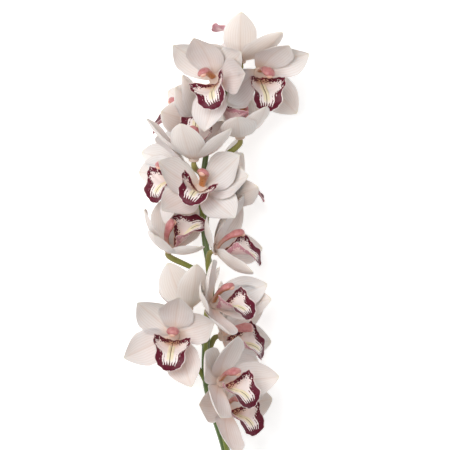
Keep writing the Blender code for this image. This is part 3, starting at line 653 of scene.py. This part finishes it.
def velvet_lip():
    """Velvety petal flesh: white, with a broad burgundy band round the middle lobe inside a thin pale
    edge and streaks that run inwards from it, burgundy flecks along the side lobes, and cream keels
    with an olive line between them that start in a tan throat. The back is a plain dull pink."""
    made, tree, shader = new_material("Velvety lip")
    mark = add(tree, "Attribute", {}, attribute_name="leaf").outputs["Vector"]
    across, along, front = add(tree, "SeparateXYZ", {0: mark}).outputs
    span = add(tree, "Attribute", {}, attribute_name="span").outputs["Vector"]
    off, margin, ahead = add(tree, "SeparateXYZ", {0: span}).outputs
    place = add(tree, "TexCoord", {}).outputs["Object"]
    grain = add(tree, "TexNoise", {"Vector": place, "Scale": 1 / (1.6 * MM), "Detail": 3.0}).outputs["Fac"]
    ragged = add(tree, "MapRange", {"Value": grain, "To Min": -2.0, "To Max": 2.0}).outputs[0]
    inward = add(tree, "Math", {0: margin, 1: ragged}, operation="ADD").outputs[0]
    soft = {"interpolation_type": "SMOOTHSTEP"}

    # The middle lobe's band, and streaks that follow lines drawn together towards the throat
    lobe = add(tree, "MapRange", {"Value": along, "From Min": 0.55, "From Max": 0.60}, **soft).outputs[0]
    edges = {"Value": inward, "From Min": BAND_WIDTH + 0.6, "From Max": BAND_WIDTH - 0.4}
    band = add(tree, "MapRange", edges, **soft).outputs[0]
    drift = add(tree, "Math", {0: grain, 1: 3.0}, operation="MULTIPLY").outputs[0]
    swing = add(tree, "Math", {0: across, 1: 34.0, 2: drift}, operation="MULTIPLY_ADD").outputs[0]
    wave = add(tree, "Math", {0: swing}, operation="SINE").outputs[0]
    edges = {"Value": inward, "From Min": STREAK_REACH, "From Max": BAND_WIDTH, "To Min": -1.2}
    fading = add(tree, "MapRange", edges, **soft).outputs[0]
    streak = add(tree, "Math", {0: wave, 1: fading}, operation="ADD").outputs[0]
    edges = {"Value": streak, "From Min": 0.35, "From Max": 0.6}
    streaked = add(tree, "MapRange", edges, **soft).outputs[0]
    banded = add(tree, "Math", {0: band, 1: streaked}, operation="MAXIMUM").outputs[0]

    # The side lobes' flecks, dense at their free edge and longer across the lobe than along it
    flat = add(tree, "CombineXYZ", {"X": off, "Y": ahead}).outputs[0]
    drawn = add(tree, "Mapping", {"Vector": flat, "Scale": (0.55, 0.95, 1.0)}).outputs[0]
    cells = {"Vector": drawn, "Scale": 1.0, "Randomness": 0.9}
    flecks = add(tree, "TexVoronoi", cells).outputs["Distance"]
    edges = {"Value": margin, "From Min": 1.0, "From Max": FLECK_REACH, "To Min": 0.85, "To Max": 0.10}
    crowd = add(tree, "MapRange", edges, **soft).outputs[0]
    spare = add(tree, "Math", {0: crowd, 1: flecks}, operation="SUBTRACT").outputs[0]
    flecked = add(tree, "MapRange", {"Value": spare, "From Max": 0.08}, **soft).outputs[0]
    inked = add(tree, "Mix", {0: lobe, 2: flecked, 3: banded}, data_type="FLOAT").outputs[0]
    rim = add(tree, "MapRange", {"Value": margin, "From Min": 0.4, "From Max": 1.0}, **soft).outputs[0]
    ink = add(tree, "Math", {0: inked, 1: rim}, operation="MULTIPLY").outputs[0]

    # White flesh over a tan throat, and two cream keels that no ink crosses
    edges = {"Value": along, "From Min": 0.42, "From Max": 0.12, "To Max": 0.85}
    throat = add(tree, "MapRange", edges, **soft).outputs[0]
    sockets = {0: throat, FIRST: colour("F6EAE6"), SECOND: colour("CB9468")}
    ground = add(tree, "Mix", sockets, data_type="RGBA").outputs[MIXED]
    sockets = {0: grain, FIRST: colour("3C0010"), SECOND: colour("780A30")}
    wine = add(tree, "Mix", sockets, data_type="RGBA").outputs[MIXED]
    aside = add(tree, "Math", {0: off}, operation="ABSOLUTE").outputs[0]
    near = add(tree, "MapRange", {"Value": aside, "From Min": 3.6, "From Max": 2.6}, **soft).outputs[0]
    begun = add(tree, "MapRange", {"Value": along, "From Min": 0.20, "From Max": 0.30}, **soft).outputs[0]
    over = add(tree, "MapRange", {"Value": along, "From Min": 0.82, "From Max": 0.70}, **soft).outputs[0]
    keel = add(tree, "Math", {0: near, 1: begun}, operation="MULTIPLY").outputs[0]
    keel = add(tree, "Math", {0: keel, 1: over}, operation="MULTIPLY").outputs[0]
    sockets = {0: keel, FIRST: ground, SECOND: colour("F0E4C4")}
    creamy = add(tree, "Mix", sockets, data_type="RGBA").outputs[MIXED]
    beside = add(tree, "Math", {0: 1.0, 1: keel}, operation="SUBTRACT").outputs[0]
    inside_ink = add(tree, "Math", {0: ink, 1: beside}, operation="MULTIPLY").outputs[0]
    sockets = {0: inside_ink, FIRST: creamy, SECOND: wine}
    inside = add(tree, "Mix", sockets, data_type="RGBA").outputs[MIXED]

    # The olive line between the keels, and the duller back
    thin = add(tree, "MapRange", {"Value": aside, "From Min": 0.55, "From Max": 0.25}, **soft).outputs[0]
    ended = add(tree, "MapRange", {"Value": along, "From Min": 0.9, "From Max": 0.84}, **soft).outputs[0]
    line = add(tree, "Math", {0: thin, 1: ended}, operation="MULTIPLY").outputs[0]
    faint = add(tree, "Math", {0: line, 1: 0.85}, operation="MULTIPLY").outputs[0]
    sockets = {0: faint, FIRST: inside, SECOND: colour("5C431F")}
    lined = add(tree, "Mix", sockets, data_type="RGBA").outputs[MIXED]
    through = add(tree, "Math", {0: ink, 1: 0.7}, operation="MULTIPLY").outputs[0]
    sockets = {0: through, FIRST: colour("E3C6C4"), SECOND: colour("B5647A")}
    outside = add(tree, "Mix", sockets, data_type="RGBA").outputs[MIXED]
    skin = add(tree, "Mix", {0: front, FIRST: outside, SECOND: lined}, data_type="RGBA").outputs[MIXED]
    tree.links.new(skin, shader.inputs["Base Color"])
    shader.inputs["Roughness"].default_value = 0.5
    shader.inputs["Specular IOR Level"].default_value = 0.35
    shader.inputs["Subsurface Weight"].default_value = 0.1
    shader.inputs["Subsurface Radius"].default_value = (1.0, 0.5, 0.5)
    shader.inputs["Subsurface Scale"].default_value = 0.5 * MM
    bump = add(tree, "Bump", {"Height": grain, "Strength": 0.35, "Distance": 0.3 * MM})
    tree.links.new(bump.outputs[0], shader.inputs["Normal"])
    return made


lip_look = velvet_lip()
for number, bloom in enumerate(BLOOMS, 1):
    petal = bmesh.new()
    phase = random.Random(100 + number).uniform(0, 6.28)
    leaf(petal, LIP_ROWS, LIP_COLUMNS, lambda c, a: lip_place(c, a, phase), 0.0, -LIP_BODY, LIP_SPREAD)
    place_on = petal.verts.layers.float_vector["leaf"]
    span = petal.verts.layers.float_vector.new("span")
    for vertex in petal.verts:
        across, along, _ = vertex[place_on]
        half = blend(along, LIP_WIDTHS)
        left = (1 - along) * LIP_LENGTH / MM
        vertex[span] = (half * across, min(half * (1 - abs(across)), left), along * LIP_LENGTH / MM)
    bmesh.ops.transform(petal, matrix=bloom_frame(bloom), verts=petal.verts)
    bmesh.ops.recalc_face_normals(petal, faces=petal.faces)
    lip = as_piece(f"lip_{number:02d}", petal, lip_look, 60)
    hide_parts(f"bloom_{number:02d}_lip")
    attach(lip, "root")

# Columns: the arched, waxy club over each lip, rose pink, with a cream cap at its tip that hides the
# pollen and a sticky hollow under it. It stands on the cup, in front of the top sepal.
COLUMN_LENGTH = 31 * MM
COLUMN_RISE = math.radians(32)
COLUMN_BOW = math.radians(-52)
COLUMN_FOOT = 1.8 * MM
COLUMN_RADII = ((0.0, 3.3), (0.25, 3.6), (0.5, 4.6), (0.75, 6.2), (1.0, 5.0))
COLUMN_FLAT = 0.72
COLUMN_UNDER = 0.45
COLUMN_END = 0.90
COLUMN_ROWS = 32
COLUMN_SIDES = 24
CAP_SIZE = (3.3 * MM, 2.3 * MM, 2.2 * MM)
CAP_ALONG = 0.93
CAP_DROP = 1.2 * MM
COLUMN_CROWDING = 1.5
COLUMN_RIM = 1e-4


def column_place(angle, along):
    """A point of the column's skin in the bloom's own frame, flatter on its underside."""
    ahead, rise, heading = arc(COLUMN_RISE, COLUMN_BOW, COLUMN_LENGTH, along)
    radius = blend(along, COLUMN_RADII) * MM
    if along > COLUMN_END:
        radius *= math.sqrt(max(0.0, 1 - ((along - COLUMN_END) / (1 - COLUMN_END)) ** 2))
    if along == 0.0:
        radius = 0.0
    flat = COLUMN_FLAT if math.sin(angle) > 0 else COLUMN_UNDER
    middle = Vector((0, COLUMN_FOOT + rise, CUP_FRONT + SEAT_GAP + ahead))
    turn = Matrix.Rotation(-heading, 3, "X")
    return middle + turn @ Vector((radius * math.cos(angle), flat * radius * math.sin(angle), 0))


def waxy_column():
    """Waxy flesh: rose pink that pales to cream near its foot, flecked underneath, with a cream cap."""
    made, tree, shader = new_material("Waxy rose column")
    mark = add(tree, "Attribute", {}, attribute_name="club").outputs["Vector"]
    along, under, cap = add(tree, "SeparateXYZ", {0: mark}).outputs
    place = add(tree, "TexCoord", {}).outputs["Object"]
    clouds = add(tree, "TexNoise", {"Vector": place, "Scale": 1 / (4 * MM), "Detail": 2.0}).outputs["Fac"]
    rose = add(tree, "Mix", {0: clouds, FIRST: colour("A84A58"), SECOND: colour("DBA29A")},
               data_type="RGBA")
    edges = {"Value": along, "From Min": 0.45, "From Max": 0.05, "To Max": 0.7}
    foot = add(tree, "MapRange", edges).outputs[0]
    footed = add(tree, "Mix", {0: foot, FIRST: rose.outputs[MIXED], SECOND: colour("E8D2B8")},
                 data_type="RGBA")
    dots = add(tree, "TexVoronoi", {"Vector": place, "Scale": 1 / (1.3 * MM)}).outputs["Distance"]
    dotted = add(tree, "MapRange", {"Value": dots, "From Min": 0.35, "From Max": 0.25}).outputs[0]
    hollow = add(tree, "Mix", {0: under, FIRST: footed.outputs[MIXED], SECOND: colour("D08A4E")},
                 data_type="RGBA")
    below = add(tree, "Math", {0: dotted, 1: under}, operation="MULTIPLY").outputs[0]
    flecked = add(tree, "Mix", {0: below, FIRST: hollow.outputs[MIXED], SECOND: colour("6A1732")},
                  data_type="RGBA")
    capped = add(tree, "Mix", {0: cap, FIRST: flecked.outputs[MIXED], SECOND: colour("EBB9A4")},
                 data_type="RGBA")
    tree.links.new(capped.outputs[MIXED], shader.inputs["Base Color"])
    shader.inputs["Roughness"].default_value = 0.35
    shader.inputs["Subsurface Weight"].default_value = 0.25
    shader.inputs["Subsurface Radius"].default_value = (1.0, 0.5, 0.4)
    shader.inputs["Subsurface Scale"].default_value = 1.0 * MM
    return made


column_look = waxy_column()
for number, bloom in enumerate(BLOOMS, 1):
    club = bmesh.new()
    mark = club.verts.layers.float_vector.new("club")
    grid = bmesh.ops.create_grid(club, x_segments=COLUMN_SIDES, y_segments=COLUMN_ROWS, size=1.0)["verts"]
    for vertex in grid:
        row = round((vertex.co.y + 1) / 2 * COLUMN_ROWS)
        along = 0.0 if row == 0 else (row - 1) / (COLUMN_ROWS - 1)
        along = 1 - (1 - along) ** COLUMN_CROWDING
        angle = math.pi * vertex.co.x
        vertex.co = column_place(angle, COLUMN_RIM if row == 1 else along)
        vertex[mark] = (along, max(0.0, -math.sin(angle)), 0.0)
    bmesh.ops.remove_doubles(club, verts=club.verts, dist=1e-6)
    cap = bmesh.ops.create_uvsphere(club, u_segments=20, v_segments=12, radius=1.0)["verts"]
    bmesh.ops.scale(club, vec=CAP_SIZE, verts=cap)
    ahead, rise, heading = arc(COLUMN_RISE, COLUMN_BOW, COLUMN_LENGTH, CAP_ALONG)
    cap_place = (0, COLUMN_FOOT + rise - CAP_DROP, CUP_FRONT + SEAT_GAP + ahead)
    bmesh.ops.translate(club, vec=cap_place, verts=cap)
    for vertex in cap:
        vertex[mark] = (1.0, 0.0, 1.0)
    bmesh.ops.transform(club, matrix=bloom_frame(bloom), verts=club.verts)
    bmesh.ops.recalc_face_normals(club, faces=club.faces)
    column = as_piece(f"column_{number:02d}", club, column_look, 60)
    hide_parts(f"bloom_{number:02d}_column")
    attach(column, "root")

# The table: a light table of opal glass, lit from below, that leaves next to no shadow round the stem.
TABLE_HALF = 3.0
TABLE_GAP = 0.2 * MM
floor_shape = bmesh.new()
bmesh.ops.create_grid(floor_shape, x_segments=1, y_segments=1, size=TABLE_HALF)
opal, opal_tree, opal_shader = new_material("Lit opal glass")
opal_shader.inputs["Base Color"].default_value = colour("F4F4F4")
opal_shader.inputs["Roughness"].default_value = 0.6
opal_shader.inputs["Emission Color"].default_value = (1.0, 1.0, 1.0, 1.0)
opal_shader.inputs["Emission Strength"].default_value = 0.5
floor = as_piece("table", floor_shape, opal, 60)
floor.location.z = -TABLE_GAP

# Light: a bright white room, and one wide soft lamp above and to the left of the blooms.
ROOM_LIGHT = 0.40
LAMP_WIDTH = 0.8
LAMP_POWER = 14
LAMP_PLACE = (-0.40, 0.40, 1.3)
LAMP_AIM = (0.0, 0.08, 0.05)
world = bpy.data.worlds.new("White studio")
world.use_nodes = True
world.node_tree.nodes["Background"].inputs["Color"].default_value = (1.0, 1.0, 1.0, 1.0)
world.node_tree.nodes["Background"].inputs["Strength"].default_value = ROOM_LIGHT
bpy.context.scene.world = world
lamp = bpy.data.lights.new("Softbox", "AREA")
lamp.shape = "SQUARE"
lamp.size = LAMP_WIDTH
lamp.energy = LAMP_POWER
lamp_holder = bpy.data.objects.new("Softbox", lamp)
lamp_holder.location = LAMP_PLACE
aim = Vector(LAMP_AIM) - lamp_holder.location
lamp_holder.rotation_euler = aim.to_track_quat("-Z", "Y").to_euler()
bpy.context.scene.collection.objects.link(lamp_holder)

# Camera: straight above, with the picture's top towards the tip. It frames the blooms and the top of
# the bare stalk, and the cut end lies outside the picture.
PICTURE_MIDDLE = (225, 225)
PICTURE_WIDTH = 450
LENS = 240
SENSOR = 36
FOCUS_HEIGHT = 68
camera = bpy.data.cameras.new("Camera")
camera.lens = LENS
camera.sensor_width = SENSOR
holder = bpy.data.objects.new("Camera", camera)
holder.location = from_plan((*PICTURE_MIDDLE, FOCUS_HEIGHT + PICTURE_WIDTH * LENS / SENSOR))
bpy.context.scene.collection.objects.link(holder)
bpy.context.scene.camera = holder
bpy.context.scene.view_settings.view_transform = "Standard"
